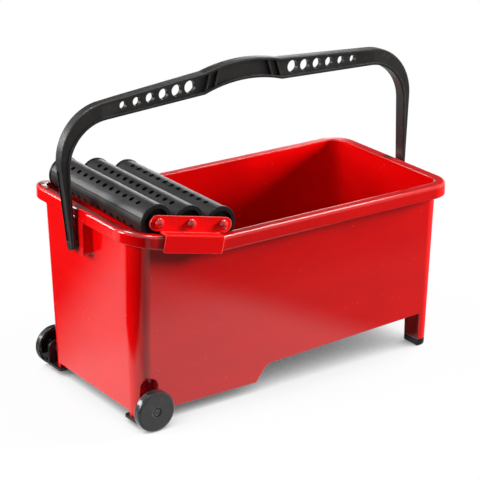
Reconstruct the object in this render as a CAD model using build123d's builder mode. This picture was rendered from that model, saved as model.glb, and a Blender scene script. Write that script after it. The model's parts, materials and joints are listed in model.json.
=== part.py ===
"""Grout cleaning bucket: a wheeled trough with a carry handle and a lift-off set of wringing rollers.

X runs along the trough with the wheels and rollers at -X, Y across it, Z up from the floor. Millimetres.
"""
import os
from math import cos, radians, sin, tan

from build123d import *

os.makedirs("parts", exist_ok=True)

# Tub: rim and walls
rim_length = 540.0
rim_width = 273.0
rim_height = 250.4
rim_overhang = 13.7
rim_round = 4.5
rim_inner_round = 1.2
rim_wall = 3.0
lip_height = 18.5
lip_wall = 2.6
lip_flare = 1.0
wall = 2.3
wall_draft = 2.0
wall_corner = 18.0

# Tub: the end of the rim that ramps up under the rollers
ramp_angle = 12.9
ramp_length = 142.0
ramp_blend = 30.0

# Tub: stepped floor
floor_wall = 3.0
ground_clearance = 15.7
well_length = 191.1
step_run = 17.4
step_rise = 23.8
shallow_slope = 2.4
step_round = 16.0
floor_round = 2.5
bottom_round = 1.5

# Tub: legs, corner pads and wheel recesses
leg_length = 20.0
leg_width = 30.0
leg_wall = 2.6
pad_depth = 5.4
pad_length = 40.0
pad_width = 22.0
recess_width = 25.0
recess_height = 66.0
recess_depth = 8.0

# Handle bosses
boss_width = 39.0
boss_wall = 3.0
boss_round = 6.0
boss_bottom = 216.5
boss_overlap = 4.0

# Foot caps
foot_height = 10.0
foot_plug = 8.0
foot_round = 2.0
foot_fit = 0.15

# Wheels, axle bolts and brackets
wheel_diameter = 56.8
wheel_width = 11.5
wheel_inset = 13.6
wheel_round = 3.8
wheel_rim = 4.0
wheel_face = 3.5
wheel_hub = 17.0
wheel_hub_recess = 13.0
wheel_recess_depth = 2.6
side_play = 0.3
wheel_gap = 9.0
axle_diameter = 8.0
axle_clearance = 0.08
axle_head = 10.4
axle_head_height = 2.2
head_play = 0.2
axle_slot = 1.4
axle_slot_depth = 0.9
nut_across_flats = 13.0
nut_height = 5.0
bracket_thickness = 3.5
bracket_width = 44.0
bracket_height = 34.5
bracket_base = 3.0
bracket_reach = 31.0
bracket_round = 11.0
bracket_gap = 0.35
bracket_shift = 3.5
screw_diameter = 4.0
screw_head = 8.0
screw_head_height = 2.4
screw_length = 9.0
screw_spacing = 20.0
screw_inset = 15.5
screw_clearance = 0.15

# Carry handle
handle_pivot = 234.5
handle_tilt = 0.6
handle_lean = 1.92
handle_depth = 18.8
handle_reach = 205.5
handle_grip_depth = 28.0
handle_grip_rise = 8.3
handle_grip_half = 61.5
handle_under_rise = 10.2
handle_under_half = 63.8
handle_shoulder_drop = 27.3
handle_bar_depth = 20.2
handle_side_gap = 8.2
handle_leg_thickness = 18.1
handle_foot_gap = 6.0
handle_foot_thickness = 5.2
handle_outer_bend = 73.5
handle_inner_bend = 60.4
handle_grip_blend = 40.0
handle_edge = 2.5
handle_recess = 5.5
handle_fade = 30.0
bead_inset = 0.8
bead_width = 2.6
bead_height = 1.2
panel_ledge = 0.5
channel_width = 11.0
channel_depth = 2.0
channel_length = 100.0
channel_foot = 2.0
hub_diameter = 17.0
hub_gap = 0.3
handle_shift = 1.15
pin_diameter = 10.0
pin_length = 11.0
pin_clearance = 0.08
hole_count = 6
hole_first = 85.0
hole_pitch = 21.0
hole_large = 17.5
hole_small = 11.0
rib_thickness = 2.4
rib_first = 45.0
rib_pitch = 14.0
rib_lean = 16.0

# Roller set
roller_pitch = 50.5
roller_offset = 44.7
roller_height = 14.5
roller_end_gap = 1.0
shell_diameter = 45.6
shell_wall = 2.4
shell_seam = 0.5
ring_diameter = 47.4
ring_width = 3.0
ring_round = 0.8
cap_wall = 2.6
cap_recess = 8.0
cap_web = 2.5
cap_spigot = 9.0
cap_fit = 0.1
cap_hub = 15.0
cap_hub_depth = 6.0
perforation = 7.2
perforation_count = 12
perforation_pitch = 16.7
row_angles = (116.0, 111.0, 101.0)
rod_diameter = 8.0
rod_clearance = 0.08
plate_thickness = 2.2
plate_length = 128.0
plate_height = 21.0
plate_gap = 4.0
plate_apron = 92.0
plate_shift = 1.2
plate_hook = 24.6
plate_hook_gap = 0.6
plate_rest = 0.9
plate_hook_round = 3.0
plate_bend = 1.4
dome_diameter = 14.0
dome_height = 6.4
dome_fit = 0.05

# Worked out from the sizes above
half_length = rim_length / 2
half_width = rim_width / 2
wall_slope = tan(radians(wall_draft))
ramp_slope = tan(radians(ramp_angle))
ramp_start = ramp_length - half_length
ramp_rise = ramp_length * ramp_slope
body_top = rim_height + ramp_rise + lip_height
far = rim_length


def wall_grow(z):
    """How far the wall leans out at height z, counted from the level part of the rim."""
    return (z - rim_height) * wall_slope


def wall_x(z):
    """Outer face of the end walls at height z."""
    return half_length - rim_overhang + wall_grow(z)


def wall_y(z):
    """Outer face of the side walls at height z."""
    return half_width - rim_overhang + wall_grow(z)


def rim_top(x):
    """Height of the rim's top along the tub."""
    return rim_height + max(0.0, ramp_start - x) * ramp_slope


def facing_down(z):
    """A sketch plane at height z that looks down, so an extrusion runs to the floor."""
    return Plane(origin=(0, 0, z), x_dir=(1, 0, 0), z_dir=(0, 0, -1))


def end_plane(x):
    """A sketch plane across the tub at x that looks outward, with its second axis up."""
    side = 1 if x > 0 else -1
    return Plane(origin=(x, 0, 0), x_dir=(0, side, 0), z_dir=(side, 0, 0))


def wall_rectangle(z, inset):
    """The rounded outline of the walls at height z, moved in by inset."""
    grow = wall_grow(z) - inset
    RectangleRounded(
        rim_length - 2 * rim_overhang + 2 * grow,
        rim_width - 2 * rim_overhang + 2 * grow,
        wall_corner + grow,
    )


def rim_rectangle(z, inset):
    """The rounded outline of the lip at height z, moved in by inset."""
    grow = (rim_height - lip_height - z) * tan(radians(lip_flare)) - inset
    RectangleRounded(rim_length + 2 * grow, rim_width + 2 * grow, wall_corner + rim_overhang + grow)


def beside_rim_line(drop, edge):
    """The region between the rim's side line, lowered by drop, and the level edge."""
    Polygon(
        (far, rim_height - drop),
        (ramp_start, rim_height - drop),
        (-far, rim_top(-far) - drop),
        (-far, edge),
        (far, edge),
        align=None,
    )


def rim_kink(sketch, drop):
    """The corner of the rim's side line where the ramp starts."""
    return sketch.vertices().sort_by_distance((ramp_start, rim_height - drop, 0))[0]


well_end = -wall_x(ground_clearance)
step_foot = well_end + well_length
step_top = step_foot + step_run
shallow_start = ground_clearance + step_rise
leg_face = wall_x(0) - leg_length
leg_side = wall_y(0) - leg_width
leg_mid_x = (leg_face + wall_x(foot_height)) / 2
leg_mid_y = (leg_side + wall_y(foot_height)) / 2
pad_face = well_end + pad_length
pad_side = wall_y(ground_clearance) - pad_width
pad_bottom = ground_clearance - pad_depth


def shallow_z(x):
    """Underside of the sloping shallow floor."""
    return shallow_start + (x - step_top) * tan(radians(shallow_slope))


floor_line = [
    (-far, ground_clearance),
    (step_foot, ground_clearance),
    (step_top, shallow_start),
    (far, shallow_z(far)),
]


def lifted(points, thickness):
    """The same open line moved square to itself by a wall thickness, upward."""
    normals = []
    for (x0, z0), (x1, z1) in zip(points, points[1:]):
        run = Vector(x1 - x0, z1 - z0).normalized()
        normals.append(Vector(-run.Y, run.X))
    moved = []
    for index, (x, z) in enumerate(points):
        before = normals[max(index - 1, 0)]
        after = normals[min(index, len(normals) - 1)]
        shift = (before + after) * (thickness / (1 + before.dot(after)))
        moved.append((x + shift.X, z + shift.Y))
    return moved


pivot_line = Axis((0, 0, handle_pivot), (cos(radians(handle_tilt)), 0, sin(radians(handle_tilt))))
wheel_axis_x = -wall_x(0) + wheel_inset
wheel_axis_z = wheel_diameter / 2
bracket_x = wheel_axis_x + bracket_shift
upright_inner = wall_y(pad_bottom + bracket_height) + bracket_gap
upright_outer = upright_inner + bracket_thickness
wheel_inner = upright_outer + wheel_gap
wheel_hub_inner = upright_outer + side_play
recess_floor = wall_y(wheel_axis_z) - recess_depth


def recess_outline(grow):
    """The wheel recess seen from the side: a slot with a round top, open below."""
    half = recess_width / 2 + grow
    shoulder_z = recess_height + grow - half
    with Locations((bracket_x, shoulder_z)):
        Circle(half)
    with Locations((bracket_x, shoulder_z / 2)):
        Rectangle(2 * half, shoulder_z)


def on_bottom_edge(edge):
    """Whether an edge is where the walls meet the underside, between the pads and the legs."""
    middle = edge.center()
    near = bottom_round / 2
    along_side = abs(abs(middle.Y) - wall_y(middle.Z)) < near and pad_face < middle.X < leg_face
    along_end = abs(abs(middle.X) - wall_x(middle.Z)) < near and abs(middle.Y) < leg_side
    return (along_side or along_end) and middle.Z < shallow_z(half_length)


def on_mouth(edge):
    """Whether an edge lies on the rim's top where the cavity opens."""
    middle = edge.center()
    inside_ends = abs(middle.X) < half_length - rim_overhang / 2
    inside_sides = abs(middle.Y) < half_width - rim_overhang / 2
    return inside_ends and inside_sides and abs(middle.Z - rim_top(middle.X)) < rim_wall / 4


with BuildPart() as rim_void:
    with BuildSketch(facing_down(body_top)):
        rim_rectangle(body_top, lip_wall)
    extrude(amount=body_top, taper=-lip_flare)
    with BuildSketch(Plane.XZ) as above_void:
        beside_rim_line(rim_wall, 2 * body_top)
        fillet(rim_kink(above_void, rim_wall), ramp_blend)
    extrude(amount=far, both=True, mode=Mode.SUBTRACT)

with BuildPart() as rim_shell:
    with BuildSketch(facing_down(body_top)):
        rim_rectangle(body_top, 0)
    extrude(amount=body_top, taper=-lip_flare)
    with BuildSketch(Plane.XZ) as above_rim:
        beside_rim_line(0, 2 * body_top)
        fillet(rim_kink(above_rim, 0), ramp_blend)
    extrude(amount=far, both=True, mode=Mode.SUBTRACT)
    with BuildSketch(Plane.XZ) as below_lip:
        beside_rim_line(lip_height, -body_top)
        fillet(rim_kink(below_lip, lip_height), ramp_blend)
    extrude(amount=far, both=True, mode=Mode.SUBTRACT)
    top_faces = rim_shell.faces().filter_by(lambda face: face.normal_at().Z > 0.9)
    across = rim_shell.edges().filter_by(Axis.Y)
    inner_lines = across.filter_by(lambda edge: abs(edge.center().X) < half_length - rim_overhang)
    fillet([edge for edge in top_faces.edges() if edge not in inner_lines], rim_round)
    add(rim_void.part, mode=Mode.SUBTRACT)

with BuildPart() as cavity:
    with BuildSketch(facing_down(body_top)):
        wall_rectangle(body_top, wall)
    extrude(amount=body_top, taper=wall_draft)
    with BuildSketch(Plane.XZ) as below_floor:
        Polygon(*lifted(floor_line, floor_wall), (far, -far), (-far, -far), align=None)
    extrude(amount=far, both=True, mode=Mode.SUBTRACT)
    floor_faces = cavity.faces().filter_by(lambda face: face.normal_at().Z < -0.5)
    crease = cavity.edges().filter_by(Axis.Y)
    fillet([edge for edge in floor_faces.edges() if edge not in crease.filter_by(
        lambda line: abs(line.center().X) < half_length / 2)], floor_round)

with BuildPart() as tub:
    with BuildSketch(facing_down(body_top)):
        wall_rectangle(body_top, 0)
    extrude(amount=body_top, taper=wall_draft)
    with BuildSketch(Plane.XZ):
        beside_rim_line(rim_wall / 2, 2 * body_top)
    extrude(amount=far, both=True, mode=Mode.SUBTRACT)
    # The underside, as far as the legs
    with BuildSketch(Plane.XZ):
        Polygon(
            (pad_face, ground_clearance),
            (step_foot, ground_clearance),
            (step_top, shallow_start),
            (leg_face, shallow_z(leg_face)),
            (leg_face, -far),
            (pad_face, -far),
            align=None,
        )
    extrude(amount=far, both=True, mode=Mode.SUBTRACT)
    # The underside between the legs
    with BuildSketch(Plane.XZ):
        Polygon(
            (leg_face, shallow_z(leg_face)),
            (far, shallow_z(far)),
            (far, -far),
            (leg_face, -far),
            align=None,
        )
    extrude(amount=leg_side, both=True, mode=Mode.SUBTRACT)
    # The underside between the corner pads, then below the pads and the legs
    with BuildSketch(Plane.XZ):
        Polygon(
            (-far, ground_clearance),
            (pad_face, ground_clearance),
            (pad_face, -far),
            (-far, -far),
            align=None,
        )
    extrude(amount=pad_side, both=True, mode=Mode.SUBTRACT)
    with BuildSketch(Plane.XZ):
        Polygon((-far, pad_bottom), (pad_face, pad_bottom), (pad_face, -far), (-far, -far), align=None)
    extrude(amount=far, both=True, mode=Mode.SUBTRACT)
    with BuildSketch(Plane.XZ):
        Polygon((leg_face, foot_height), (far, foot_height), (far, -far), (leg_face, -far), align=None)
    extrude(amount=far, both=True, mode=Mode.SUBTRACT)
    fold = tub.edges().filter_by(Axis.Y).sort_by_distance((step_top, 0, shallow_start))[0]
    fillet(fold, step_round)
    fillet(tub.edges().filter_by(on_bottom_edge), bottom_round)
    add(rim_shell.part)
    # Handle bosses, hollow from below
    for end in (-half_length, half_length):
        boss_top = rim_top(end) - lip_height + boss_overlap
        with BuildSketch(end_plane(end)) as boss:
            with Locations((0, (boss_bottom + boss_top) / 2)):
                Rectangle(boss_width, boss_top - boss_bottom)
            fillet(boss.vertices().group_by(Axis.Y)[0], boss_round)
        extrude(amount=-rim_overhang - 2 * wall)
    add(cavity.part, mode=Mode.SUBTRACT)
    fillet(tub.edges().filter_by(on_mouth), rim_inner_round)
    for end in (-half_length, half_length):
        boss_top = rim_top(end) - lip_height + boss_overlap
        boss_room = half_length - boss_wall - wall_x(boss_top)
        with BuildSketch(end_plane(end).offset(-boss_wall)):
            with Locations((0, boss_top / 2)):
                Rectangle(boss_width - 2 * boss_wall, boss_top)
        extrude(amount=-boss_room, mode=Mode.SUBTRACT)
        inward = pivot_line.direction * (-1 if end > 0 else 1)
        pin_start = pivot_line.position - inward * (half_length + boss_wall)
        with BuildSketch(Plane(origin=pin_start, z_dir=inward)):
            Circle(pin_diameter / 2 + pin_clearance)
        extrude(amount=3 * boss_wall, mode=Mode.SUBTRACT)
    # Wheel recesses: a thickened patch inside, then the slot from outside
    for side in (-1, 1):
        sheet = Plane(origin=(0, side * (recess_floor - wall), 0), x_dir=(1, 0, 0), z_dir=(0, -1, 0))
        with BuildSketch(sheet):
            recess_outline(wall)
            with Locations((bracket_x, 0)):
                Rectangle(2 * recess_width, 2 * ground_clearance, mode=Mode.SUBTRACT)
        extrude(amount=-side * recess_depth)
    for side in (-1, 1):
        sheet = Plane(origin=(0, side * recess_floor, 0), x_dir=(1, 0, 0), z_dir=(0, -1, 0))
        with BuildSketch(sheet):
            recess_outline(0)
        extrude(amount=-side * 2 * recess_depth, mode=Mode.SUBTRACT)
    # Leg pockets and the screw holes in the corner pads
    for side in (-1, 1):
        leg_inside_x = wall_x(foot_height) - leg_face - 2 * leg_wall
        leg_inside_y = wall_y(foot_height) - leg_side - 2 * leg_wall
        with BuildSketch(Plane.XY.offset(foot_height)):
            with Locations((leg_mid_x, side * leg_mid_y)):
                RectangleRounded(leg_inside_x, leg_inside_y, 2 * leg_wall)
        extrude(amount=shallow_z(leg_face) - foot_height, mode=Mode.SUBTRACT)
        screw_y = side * (wall_y(pad_bottom) - screw_inset)
        with BuildSketch(Plane.XY.offset(pad_bottom)):
            with Locations((bracket_x, screw_y)):
                with GridLocations(screw_spacing, 0, 2, 1):
                    Circle(screw_diameter / 2 - screw_clearance)
        extrude(amount=screw_length - bracket_base, mode=Mode.SUBTRACT)
tub.part.label = "tub"
export_step(tub.part, "parts/tub.step")

sides = {"front": -1, "rear": 1}
plug_x = wall_x(foot_height) - leg_face - 2 * leg_wall - 2 * foot_fit
plug_y = wall_y(foot_height) - leg_side - 2 * leg_wall - 2 * foot_fit

for name, side in sides.items():
    with BuildPart() as foot_cap:
        with BuildSketch(facing_down(foot_height)):
            wall_rectangle(foot_height, 0)
        extrude(amount=foot_height, taper=wall_draft)
        with BuildSketch(Plane.XY):
            Rectangle(2 * leg_face, far)
            with Locations((leg_face, 0)):
                Rectangle(far, 2 * leg_side)
            with Locations((0, -side * (far / 2))):
                Rectangle(2 * far, far)
            with Locations((-far / 2, 0)):
                Rectangle(far, far)
        extrude(amount=foot_height, mode=Mode.SUBTRACT)
        fillet(foot_cap.faces().sort_by(Axis.Z)[0].edges(), foot_round)
        with BuildSketch(Plane.XY.offset(foot_height)):
            with Locations((leg_mid_x, side * leg_mid_y)):
                RectangleRounded(plug_x, plug_y, 2 * leg_wall)
        extrude(amount=foot_plug)
    foot_cap.part.label = "foot_cap_" + name
    export_step(foot_cap.part, "parts/foot_cap_" + name + ".step")

for name, side in sides.items():
    base_top = pad_bottom
    base_y = side * (upright_outer - bracket_reach / 2 - bracket_thickness / 2)
    screw_y = side * (wall_y(pad_bottom) - screw_inset)
    upright_plane = Plane(origin=(0, side * upright_inner, 0), x_dir=(1, 0, 0), z_dir=(0, -1, 0))
    with BuildPart() as wheel_bracket:
        with BuildSketch(upright_plane) as upright:
            with Locations((bracket_x, base_top - bracket_base + bracket_height / 2)):
                Rectangle(bracket_width, bracket_height)
            fillet(upright.vertices().group_by(Axis.Y)[-1], bracket_round)
        extrude(amount=-side * bracket_thickness)
        with BuildSketch(Plane.XY.offset(base_top - bracket_base)):
            with Locations((bracket_x, base_y)):
                Rectangle(bracket_width, bracket_reach + bracket_thickness)
        extrude(amount=bracket_base)
        corner = wheel_bracket.edges().filter_by(Axis.X).sort_by_distance(
            (bracket_x, side * upright_outer, base_top - bracket_base))[0]
        fillet(corner, bracket_base / 2)
        upright_edges = wheel_bracket.edges().filter_by(Axis.Z)
        free_ends = upright_edges.sort_by_distance((bracket_x, 0, base_top))[:2]
        fillet(free_ends, bracket_round / 2)
        with BuildSketch(upright_plane):
            with Locations((wheel_axis_x, wheel_axis_z)):
                Circle(axle_diameter / 2)
        extrude(amount=-side * bracket_thickness, mode=Mode.SUBTRACT)
        with BuildSketch(Plane.XY.offset(base_top - bracket_base)):
            with Locations((bracket_x, screw_y)):
                with GridLocations(screw_spacing, 0, 2, 1):
                    Circle(screw_diameter / 2)
        extrude(amount=bracket_base, mode=Mode.SUBTRACT)
    wheel_bracket.part.label = "wheel_bracket_" + name
    export_step(wheel_bracket.part, "parts/wheel_bracket_" + name + ".step")

with BuildPart() as bracket_screws:
    for side in sides.values():
        screw_y = side * (wall_y(pad_bottom) - screw_inset)
        with BuildSketch(Plane.XY.offset(pad_bottom - bracket_base - screw_head_height)):
            with Locations((bracket_x, screw_y)):
                with GridLocations(screw_spacing, 0, 2, 1):
                    Circle(screw_head / 2)
        extrude(amount=screw_head_height)
        with BuildSketch(Plane.XY.offset(pad_bottom - bracket_base)):
            with Locations((bracket_x, screw_y)):
                with GridLocations(screw_spacing, 0, 2, 1):
                    Circle(screw_diameter / 2 - screw_clearance)
        extrude(amount=screw_length)
    fillet(bracket_screws.edges().group_by(Axis.Z)[0], screw_head_height / 2)
bracket_screws.part.label = "bracket_screws"
export_step(bracket_screws.part, "parts/bracket_screws.step")

wheel_radius = wheel_diameter / 2
axle_radius = axle_diameter / 2
wheel_outer = wheel_inner + wheel_width
head_base = wheel_outer - wheel_recess_depth
head_seat = head_base + head_play
axle_line = Axis((wheel_axis_x, 0, wheel_axis_z), (0, 1, 0))

for name, side in sides.items():
    turning_plane = Plane(origin=(wheel_axis_x, 0, wheel_axis_z), x_dir=(1, 0, 0), z_dir=(0, 0, side))
    with BuildPart() as wheel:
        with BuildSketch(turning_plane) as section:
            Polygon(
                (axle_radius + axle_clearance, wheel_hub_inner),
                (wheel_hub / 2, wheel_hub_inner),
                (wheel_hub / 2, wheel_outer - wheel_face),
                (wheel_radius - wheel_rim, wheel_outer - wheel_face),
                (wheel_radius - wheel_rim, wheel_inner),
                (wheel_radius, wheel_inner),
                (wheel_radius, wheel_outer),
                (wheel_hub_recess / 2, wheel_outer),
                (wheel_hub_recess / 2, head_base),
                (axle_radius + axle_clearance, head_base),
                align=None,
            )
            shoulder = section.vertices().sort_by_distance((wheel_radius, wheel_outer, 0))[0]
            fillet(shoulder, wheel_round)
        revolve(axis=axle_line)
    wheel.part.label = "wheel_" + name
    export_step(wheel.part, "parts/wheel_" + name + ".step")

    with BuildPart() as wheel_axle:
        with BuildSketch(turning_plane):
            Polygon(
                (0, upright_inner - nut_height - axle_head_height / 2),
                (axle_radius, upright_inner - nut_height - axle_head_height / 2),
                (axle_radius, head_seat),
                (axle_head / 2, head_seat),
                (axle_head / 2, head_seat + axle_head_height),
                (0, head_seat + axle_head_height),
                align=None,
            )
        revolve(axis=axle_line)
        slot_level = Plane(
            origin=(wheel_axis_x, side * (head_seat + axle_head_height), wheel_axis_z),
            x_dir=(1, 0, 0),
            z_dir=(0, -side, 0),
        )
        with BuildSketch(slot_level):
            Rectangle(axle_head, axle_slot, rotation=30)
        extrude(amount=axle_slot_depth, mode=Mode.SUBTRACT)
    wheel_axle.part.label = "wheel_axle_" + name
    export_step(wheel_axle.part, "parts/wheel_axle_" + name + ".step")

with BuildPart() as wheel_axle_nuts:
    for side in sides.values():
        nut_seat = (wheel_axis_x, side * upright_inner, wheel_axis_z)
        seat = Plane(origin=nut_seat, x_dir=(1, 0, 0), z_dir=(0, -side, 0))
        with BuildSketch(seat):
            RegularPolygon(nut_across_flats / 2, 6, major_radius=False)
            Circle(axle_radius, mode=Mode.SUBTRACT)
        extrude(amount=nut_height)
wheel_axle_nuts.part.label = "wheel_axle_nuts"
export_step(wheel_axle_nuts.part, "parts/wheel_axle_nuts.step")


handle_top = handle_pivot + handle_reach
handle_under = handle_top - handle_grip_depth
handle_shoulder = handle_top - handle_shoulder_drop
handle_under_shoulder = handle_shoulder - handle_bar_depth
handle_inner_x = half_length + handle_side_gap
handle_outer_x = handle_inner_x + handle_leg_thickness
foot_inner_x = half_length + handle_foot_gap
foot_outer_x = foot_inner_x + handle_foot_thickness
handle_end_round = handle_depth / 2
hole_last = hole_first + (hole_count - 1) * hole_pitch
fade_start = hole_last + hole_small / 2
fade_end = fade_start + handle_fade
panel_foot = (handle_pivot + handle_under_shoulder) / 2
handle_face = handle_depth / 2 - bead_height
bead_end = bead_inset + bead_width
panel_inset = bead_end + panel_ledge
web_face = handle_depth / 2 - handle_recess
fade_far = fade_end + handle_fade
leg_lean = (handle_outer_x - foot_outer_x) / (handle_shoulder - handle_pivot)
inner_lean = (handle_inner_x - foot_inner_x) / (handle_under_shoulder - handle_pivot)


def handle_outer(x):
    """Top line of the handle's straight shoulder."""
    grip_end = handle_top - handle_grip_rise
    share = (x - handle_grip_half) / (handle_outer_x - handle_grip_half)
    return grip_end + (handle_shoulder - grip_end) * share


def handle_inner(x):
    """Lower line of the handle's straight shoulder."""
    grip_end = handle_under - handle_under_rise
    share = (x - handle_under_half) / (handle_inner_x - handle_under_half)
    return grip_end + (handle_under_shoulder - grip_end) * share


def grip_arch(half, top, rise):
    """Three points of an arch over the middle of the handle."""
    return (-half, top - rise), (0, top), (half, top - rise)


def handle_side(mirror, outer_inset, inner_inset, foot):
    """One side of the handle's outline, moved in by two insets and cut off at the level foot."""
    points = [
        (handle_grip_half, handle_top - handle_grip_rise - outer_inset),
        (handle_outer_x - outer_inset, handle_shoulder - outer_inset),
        (foot_outer_x + (foot - handle_pivot) * leg_lean - outer_inset, foot),
        (foot_inner_x + (foot - handle_pivot) * inner_lean + inner_inset, foot),
        (handle_inner_x + inner_inset, handle_under_shoulder + inner_inset),
        (handle_under_half, handle_under - handle_under_rise + inner_inset),
    ]
    return [(mirror * x, z) for x, z in points]


def nearest(sketch, points):
    """The corners of a sketch that lie nearest to some points."""
    return [sketch.vertices().sort_by_distance(point)[0] for point in points]


def depth_plan(depths):
    """The handle from above: how far its front and back faces lie from its middle at each place."""
    Polygon(*depths, *[(x, -depth) for x, depth in reversed(depths)], align=None)


def is_handle_outside(face):
    """Whether a face is one of the handle's outer sides, which all look away from its middle."""
    middle = face.center()
    normal = face.normal_at()
    away = Vector(middle.X, 0, middle.Z - handle_pivot - handle_reach / 2)
    return abs(normal.Y) < 0.01 and normal.Z > -0.5 and normal.dot(away) > 0


# The handle's outline, and the same with its outer or inner edge moved in
handle_regions = {}
for region_name, outer_inset, inner_inset, foot in (
    ("outline", 0, 0, handle_pivot - handle_end_round),
    ("above_edge", 0, bead_inset, handle_pivot - handle_end_round),
    ("above_lip", 0, bead_end, handle_pivot - handle_end_round),
    ("below_edge", bead_inset, 0, handle_pivot - handle_end_round),
    ("below_bead", bead_end, 0, handle_pivot - handle_end_round),
    ("panel", panel_inset, panel_inset, panel_foot),
):
    right_side = handle_side(1, outer_inset, inner_inset, foot)
    left_side = handle_side(-1, outer_inset, inner_inset, foot)
    with BuildSketch(Plane.XZ) as region:
        with BuildLine():
            ThreePointArc(*grip_arch(handle_grip_half, handle_top - outer_inset, handle_grip_rise))
            ThreePointArc(*grip_arch(handle_under_half, handle_under + inner_inset, handle_under_rise))
            Polyline(*left_side)
            Polyline(*right_side)
        make_face()
        fillet(nearest(region, (left_side[1], right_side[1])), handle_outer_bend - outer_inset)
        fillet(nearest(region, (left_side[4], right_side[4])), handle_inner_bend + inner_inset)
        fillet(nearest(region, (left_side[0], right_side[0])), handle_grip_blend + outer_inset)
    handle_regions[region_name] = region.sketch_local

# A lip follows the whole inner edge, and a bead the outer edge as far as the bends
with BuildPart() as inner_lip:
    with BuildSketch(Plane.XZ):
        add(handle_regions["above_edge"])
        add(handle_regions["above_lip"], mode=Mode.SUBTRACT)
    extrude(amount=handle_depth / 2, both=True)

with BuildPart() as bar_bead:
    with BuildSketch(Plane.XZ):
        add(handle_regions["below_edge"])
        add(handle_regions["below_bead"], mode=Mode.SUBTRACT)
    extrude(amount=handle_depth / 2, both=True)
    with BuildSketch(Plane.XY):
        depth_plan([
            (-fade_far, handle_face - bead_height),
            (-fade_start, handle_depth / 2),
            (fade_start, handle_depth / 2),
            (fade_far, handle_face - bead_height),
        ])
    extrude(amount=far, mode=Mode.INTERSECT)

# The deep recess along the bar leaves a web, and runs out before the bends
with BuildPart() as bar_cut:
    with BuildSketch(Plane.XZ):
        add(handle_regions["panel"])
    extrude(amount=handle_depth, both=True)
    with BuildSketch(Plane.XY):
        Rectangle(2 * fade_far, 2 * handle_depth)
    extrude(amount=far, mode=Mode.INTERSECT)
    with BuildSketch(Plane.XY):
        depth_plan([
            (-fade_far, 2 * handle_face - web_face),
            (-fade_start, web_face),
            (fade_start, web_face),
            (fade_far, 2 * handle_face - web_face),
        ])
    extrude(amount=far, mode=Mode.SUBTRACT)

with BuildPart() as upright_handle:
    with BuildSketch(Plane.XZ):
        add(handle_regions["outline"])
    extrude(amount=handle_face, both=True)
    side_faces = upright_handle.faces().filter_by(is_handle_outside)
    fillet([edge for edge in side_faces.edges() if abs(edge.tangent_at(0.5).Y) < 0.5], handle_edge)
    add(inner_lip.part)
    add(bar_bead.part)
    # Round the leg ends around the pivot line
    for mirror in (-1, 1):
        with BuildSketch(end_plane(mirror * foot_outer_x)):
            with Locations((0, handle_pivot - handle_end_round)):
                Rectangle(2 * handle_depth, 2 * handle_end_round)
            with Locations((0, handle_pivot)):
                Circle(handle_end_round, mode=Mode.SUBTRACT)
                with Locations((0, handle_end_round)):
                    Rectangle(2 * handle_depth, 2 * handle_end_round, mode=Mode.SUBTRACT)
        extrude(amount=handle_depth, both=True, mode=Mode.SUBTRACT)
    add(bar_cut.part, mode=Mode.SUBTRACT)
    # Slanted ribs at both ends of the grip
    with BuildSketch(Plane.XZ):
        for mirror in (-1, 1):
            for index in range(2):
                rib_x = rib_first + index * rib_pitch
                rib_z = (handle_outer(rib_x) + handle_inner(rib_x)) / 2
                with Locations((mirror * rib_x, rib_z)):
                    Rectangle(rib_thickness, far / 4, rotation=mirror * rib_lean)
        add(handle_regions["panel"], mode=Mode.INTERSECT)
    extrude(amount=handle_face, both=True)
    # Graduated holes along both shoulders
    with BuildSketch(Plane.XZ):
        for index in range(hole_count):
            hole_x = hole_first + index * hole_pitch
            hole_z = (handle_outer(hole_x) + handle_inner(hole_x)) / 2
            hole_size = hole_large + (hole_small - hole_large) * index / (hole_count - 1)
            with Locations((-hole_x, hole_z), (hole_x, hole_z)):
                Circle(hole_size / 2)
    extrude(amount=handle_depth, both=True, mode=Mode.SUBTRACT)
    # A channel down the outside of each leg, then the hubs and pivot pins inside
    for mirror in (-1, 1):
        leg_out = Vector(mirror, 0, -leg_lean).normalized()
        leg_plane = Plane(origin=(mirror * foot_outer_x, 0, handle_pivot), x_dir=(0, mirror, 0), z_dir=leg_out)
        with BuildSketch(leg_plane):
            with Locations((0, channel_foot + channel_length / 2)):
                RectangleRounded(channel_width, channel_length, channel_depth)
        extrude(amount=-channel_depth, mode=Mode.SUBTRACT)
        hub_plane = end_plane(mirror * foot_inner_x)
        with BuildSketch(hub_plane):
            with Locations((0, handle_pivot)):
                Circle(hub_diameter / 2)
        extrude(amount=half_length + handle_shift + hub_gap - foot_inner_x)
        with BuildSketch(hub_plane):
            with Locations((0, handle_pivot)):
                Circle(pin_diameter / 2)
        extrude(amount=half_length - pin_length - foot_inner_x)

# It rests a little off upright, turned about its own pivot line
with BuildPart() as carry_handle:
    level_line = Axis((0, 0, handle_pivot), (0, 1, 0))
    turned = upright_handle.part.rotate(level_line, -handle_tilt).rotate(pivot_line, -handle_lean)
    add(turned.translate(pivot_line.direction * handle_shift))
carry_handle.part.label = "carry_handle"
export_step(carry_handle.part, "parts/carry_handle.step")

# The roller set has its own frame: along the ramp, across the tub and square to the ramp
along = Vector(cos(radians(ramp_angle)), 0, -sin(radians(ramp_angle)))
square = Vector(sin(radians(ramp_angle)), 0, cos(radians(ramp_angle)))
ramp_origin = Vector(ramp_start, 0, rim_height) - along * roller_offset
roller_half = wall_y(rim_height) - wall - roller_end_gap
plate_inner = roller_half + plate_gap
plate_outer = plate_inner + plate_thickness
hook_inner = half_width + plate_hook_gap
hook_outer = hook_inner + plate_thickness
fold_top = plate_rest + plate_thickness
rod_radius = rod_diameter / 2
roller_count = len(row_angles)


def roller_centre(index):
    """Middle point of one roller's axis, counted from the wheel end."""
    place = index - (roller_count - 1) / 2
    return ramp_origin + along * (roller_pitch * place) + square * roller_height


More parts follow.
